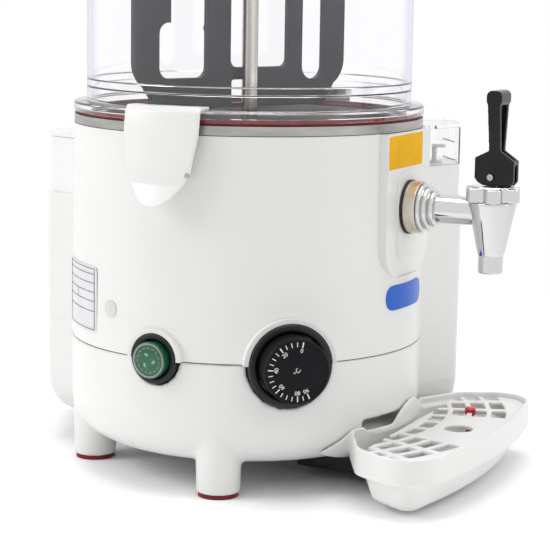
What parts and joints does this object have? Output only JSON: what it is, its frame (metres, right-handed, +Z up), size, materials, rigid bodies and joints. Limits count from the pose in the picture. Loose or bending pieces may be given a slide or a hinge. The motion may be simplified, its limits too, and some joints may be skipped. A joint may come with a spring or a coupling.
{
  "type": "hot chocolate dispenser",
  "caption": "Countertop hot chocolate dispenser: clear bowl with a stirrer over a round white heated base, a lever tap with a drip tray, a dial, a push button and a water filler behind.",
  "frame": {"origin": "stirrer axis on the table plane", "axes": "+Z up along the stirrer axis, -Y towards the front with the dial and the button, +X to the right, where the tap and the drip tray are"},
  "size_m": [0.3718, 0.3467, 0.465],
  "materials": {
    "white_plastic": "glossy moulded white",
    "tray_plastic": "satin moulded white",
    "filler_plastic": "milky translucent white",
    "clear_plastic": "clear polycarbonate",
    "steel": "turned and brushed",
    "chrome": "polished",
    "zinc_sheet": "zinc-plated sheet",
    "motor_metal": "cast",
    "red_rubber": "matt",
    "black_rubber": "matt",
    "black_plastic": "fine texture",
    "lever_plastic": "high gloss",
    "charcoal_plastic": "satin",
    "green_lens": "translucent",
    "red_plastic": "glossy",
    "ivory_plastic": "plain"
  },
  "bodies": {
    "base": {"lower_shell": "white_plastic", "upper_shell": "white_plastic", "base_plate": "zinc_sheet", "base_screws": "steel", "foot_pads": "red_rubber", "rear_lower_cover": "white_plastic", "rear_upper_cover": "white_plastic", "rear_panel": "white_plastic", "panel_screws": "steel", "cable_gland": "black_plastic", "filler_box": "filler_plastic", "level_box": "clear_plastic", "steel_basin": "steel", "water_jacket": "zinc_sheet", "heating_element": "steel", "shaft_seal": "red_rubber", "motor_bracket": "zinc_sheet", "gear_motor": "motor_metal", "bowl_gasket": "red_rubber", "bowl": "clear_plastic", "dial_bezel": "black_plastic", "thermostat": "zinc_sheet", "button_bezel": "black_plastic", "switch_body": "black_plastic", "tap_gasket": "black_rubber", "tap_collar": "steel", "tap_nut": "chrome", "tap_shank": "steel", "tap_body": "chrome", "tap_crown": "chrome", "latch_brackets": "white_plastic", "latch_pins": "steel", "tray_bracket": "black_plastic", "terminal_block": "ivory_plastic"},
    "stirrer": {"drive_coupling": "steel", "stirrer_shaft": "steel", "stirrer_paddle": "charcoal_plastic", "basin_scraper": "charcoal_plastic"},
    "lid": {"lid": "clear_plastic", "lid_knob": "black_plastic"},
    "dial": {"dial_knob": "black_plastic"},
    "button": {"button_lens": "green_lens"},
    "tap_stem": {"tap_stem": "steel", "tap_plug": "ivory_plastic", "lever_pin": "steel"},
    "tap_lever": {"tap_lever": "lever_plastic"},
    "front_latch": {"front_latch": "white_plastic"},
    "rear_latch": {"rear_latch": "white_plastic"},
    "tray": {"drip_tray": "tray_plastic"},
    "grid": {"drip_grid": "tray_plastic"},
    "tray_float": {"tray_float": "red_plastic"},
    "level_lid": {"level_lid": "clear_plastic"},
    "level_float": {"level_float": "white_plastic"},
    "filler_cap": {"filler_cap": "filler_plastic"}
  },
  "joints": [
    {"name": "stirrer_spin", "type": "hinge", "parent": "base", "child": "stirrer", "pos_m": [0, 0, 0.2], "axis": [0, 0, 1], "continuous": true},
    {"name": "lid_lift", "type": "slide", "parent": "base", "child": "lid", "axis": [0, 0, 1], "range_m": [0, 0.12]},
    {"name": "dial_turn", "type": "hinge", "parent": "base", "child": "dial", "pos_m": [0, 0, 0.0965], "axis": [0.247, -0.969, 0], "range_deg": [-205, 11]},
    {"name": "button_press", "type": "slide", "parent": "base", "child": "button", "axis": [0.4695, 0.8829, 0], "range_m": [0, 0.003], "stiffness_N_per_m": 300, "springref_m": -0.002},
    {"name": "tap_stem_lift", "type": "slide", "parent": "base", "child": "tap_stem", "axis": [0, 0, 1], "range_m": [0, 0.0041]},
    {"name": "tap_lever_tilt", "type": "hinge", "parent": "tap_stem", "child": "tap_lever", "pos_m": [0.1733, -0.08266, 0.2251], "axis": [-0.4305, -0.9026, 0], "range_deg": [0, 45], "stiffness_Nm_per_rad": 0.05, "springref_deg": -34.38},
    {"name": "front_latch_swing", "type": "hinge", "parent": "base", "child": "front_latch", "pos_m": [-0.0579, -0.1214, 0.2278], "axis": [0.9026, -0.4305, 0], "range_deg": [0, 30], "stiffness_Nm_per_rad": 0.02, "springref_deg": -28.65},
    {"name": "rear_latch_swing", "type": "hinge", "parent": "base", "child": "rear_latch", "pos_m": [0.0579, 0.1214, 0.2278], "axis": [-0.9026, 0.4305, 0], "range_deg": [0, 30], "stiffness_Nm_per_rad": 0.02, "springref_deg": -28.65},
    {"name": "tray_pull", "type": "slide", "parent": "base", "child": "tray", "axis": [0.9026, -0.4305, 0], "range_m": [0, 0.09]},
    {"name": "grid_lift", "type": "slide", "parent": "tray", "child": "grid", "axis": [0, 0, 1], "range_m": [0, 0.05]},
    {"name": "tray_float_rise", "type": "slide", "parent": "tray", "child": "tray_float", "axis": [0, 0, 1], "range_m": [0, 0.012]},
    {"name": "level_lid_lift", "type": "slide", "parent": "base", "child": "level_lid", "axis": [0, 0, 1], "range_m": [0, 0.03]},
    {"name": "level_float_rise", "type": "slide", "parent": "base", "child": "level_float", "axis": [0, 0, 1], "range_m": [0, 0.012]},
    {"name": "filler_cap_lift", "type": "slide", "parent": "base", "child": "filler_cap", "axis": [0, 0, 1], "range_m": [0, 0.03]}
  ],
  "couplings": [
    {"joint": "tap_stem_lift", "follows": "tap_lever_tilt", "m_per_rad": 0.005093}
  ]
}
